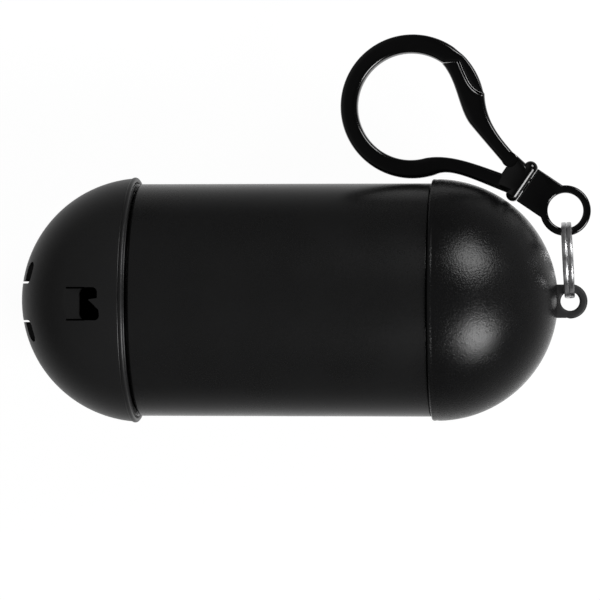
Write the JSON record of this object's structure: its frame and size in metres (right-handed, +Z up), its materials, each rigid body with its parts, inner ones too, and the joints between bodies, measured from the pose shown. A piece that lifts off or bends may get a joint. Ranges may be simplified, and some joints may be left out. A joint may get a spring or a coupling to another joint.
{
  "type": "waste bag dispenser",
  "caption": "Capsule-shaped holder for a roll of pet waste bags: tube, screw cap with a pull-out hole, loop cap, split ring and swivelling snap clip.",
  "frame": {"origin": "on the capsule's axis at the middle of the tube, where the bag roll's bay is centred", "axes": "+X along the capsule's axis towards the loop cap and its ring, +Z up through the pull-out hole, +Y towards the clip"},
  "size_m": [0.0934, 0.0635, 0.0402],
  "materials": {
    "tube_plastic": "satin black",
    "cap_plastic": "fine matte black",
    "loop_cap_plastic": "fine matte black",
    "ring_steel": "bright plated wire",
    "clip_plastic": "gloss black",
    "bag_film": "thin wound film",
    "core_board": "plain board"
  },
  "bodies": {
    "capsule": {"tube": "tube_plastic", "loop_cap": "loop_cap_plastic"},
    "cap": {"dispensing_cap": "cap_plastic"},
    "roll": {"bag_roll": "bag_film", "roll_core": "core_board"},
    "ring": {"split_ring": "ring_steel"},
    "eye": {"clip_eye": "clip_plastic"},
    "hook": {"clip_hook": "clip_plastic"},
    "gate": {"clip_gate": "clip_plastic"}
  },
  "joints": [
    {"name": "cap_lift", "type": "slide", "parent": "capsule", "child": "cap", "axis": [-1, 0, 0], "range_m": [0, 0.02]},
    {"name": "roll_spin", "type": "hinge", "parent": "capsule", "child": "roll", "pos_m": [0, 0, -0.00045], "axis": [1, 0, 0], "continuous": true},
    {"name": "ring_swing", "type": "hinge", "parent": "capsule", "child": "ring", "pos_m": [0.0465, -0.0002, 0], "axis": [0, 0, 1], "range_deg": [-110, 0]},
    {"name": "clip_swing", "type": "hinge", "parent": "ring", "child": "eye", "pos_m": [0.04575, 0.01455, 0], "axis": [0, 0, 1], "range_deg": [-110, 0]},
    {"name": "clip_swivel", "type": "hinge", "parent": "eye", "child": "hook", "pos_m": [0.04575, 0.01455, 0], "axis": [-0.8279, 0.5609, 0], "continuous": true},
    {"name": "gate_flex", "type": "hinge", "parent": "hook", "child": "gate", "pos_m": [0.03666, 0.0229, 0], "axis": [0, 0, 1], "range_deg": [0, 14], "stiffness_Nm_per_rad": 0.3}
  ]
}
